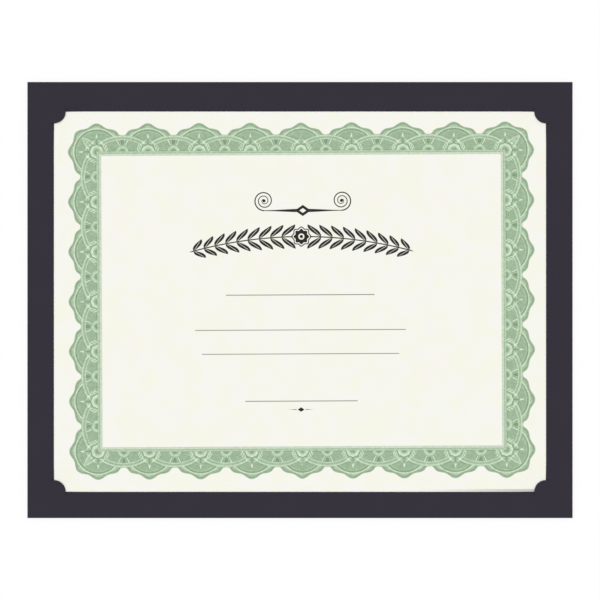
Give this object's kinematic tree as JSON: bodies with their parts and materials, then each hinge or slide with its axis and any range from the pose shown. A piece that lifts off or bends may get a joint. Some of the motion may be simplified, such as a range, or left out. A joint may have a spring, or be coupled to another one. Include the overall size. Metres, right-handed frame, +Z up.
{
  "type": "certificate holder",
  "caption": "Bi-fold card certificate holder with quarter-round corner tabs, shown folded back with a landscape letter-size certificate in it.",
  "frame": {"origin": "under the middle of the holder, on the surface that it lies on", "axes": "+X along the fold, to the right of someone reading the certificate; +Y to the fold, at the certificate's top; +Z up, the way the certificate faces"},
  "size_m": [0.3096, 0.2476, 0.0025],
  "materials": {
    "linen_card": "matte",
    "parchment_paper": "matte"
  },
  "bodies": {
    "panel": {"display_panel": "linen_card", "certificate": "parchment_paper"},
    "spine": {"spine_strip": "linen_card"},
    "cover": {"front_cover": "linen_card"},
    "tab_top_left": {"corner_tab_top_left": "linen_card"},
    "tab_top_right": {"corner_tab_top_right": "linen_card"},
    "tab_bottom_left": {"corner_tab_bottom_left": "linen_card"},
    "tab_bottom_right": {"corner_tab_bottom_right": "linen_card"}
  },
  "joints": [
    {"name": "spine_fold", "type": "hinge", "parent": "panel", "child": "spine", "pos_m": [0, 0.12362, 0.00198], "axis": [1, 0, 0], "range_deg": [0, 180]},
    {"name": "cover_fold", "type": "hinge", "parent": "spine", "child": "cover", "pos_m": [0, 0.12362, 0.0002], "axis": [1, 0, 0], "range_deg": [0, 180]},
    {"name": "tab_flex_top_left", "type": "hinge", "parent": "panel", "child": "tab_top_left", "pos_m": [-0.13784, 0.10512, 0.00198], "axis": [-0.7071, -0.7071, 0], "range_deg": [0, 15], "stiffness_Nm_per_rad": 0.05},
    {"name": "tab_flex_top_right", "type": "hinge", "parent": "panel", "child": "tab_top_right", "pos_m": [0.13784, 0.10512, 0.00198], "axis": [-0.7071, 0.7071, 0], "range_deg": [0, 15], "stiffness_Nm_per_rad": 0.05},
    {"name": "tab_flex_bottom_left", "type": "hinge", "parent": "panel", "child": "tab_bottom_left", "pos_m": [-0.13784, -0.10707, 0.00198], "axis": [0.7071, -0.7071, 0], "range_deg": [0, 15], "stiffness_Nm_per_rad": 0.05},
    {"name": "tab_flex_bottom_right", "type": "hinge", "parent": "panel", "child": "tab_bottom_right", "pos_m": [0.13784, -0.10707, 0.00198], "axis": [0.7071, 0.7071, 0], "range_deg": [0, 15], "stiffness_Nm_per_rad": 0.05}
  ],
  "couplings": [
    {"joint": "spine_fold", "follows": "cover_fold", "ratio": 1}
  ]
}
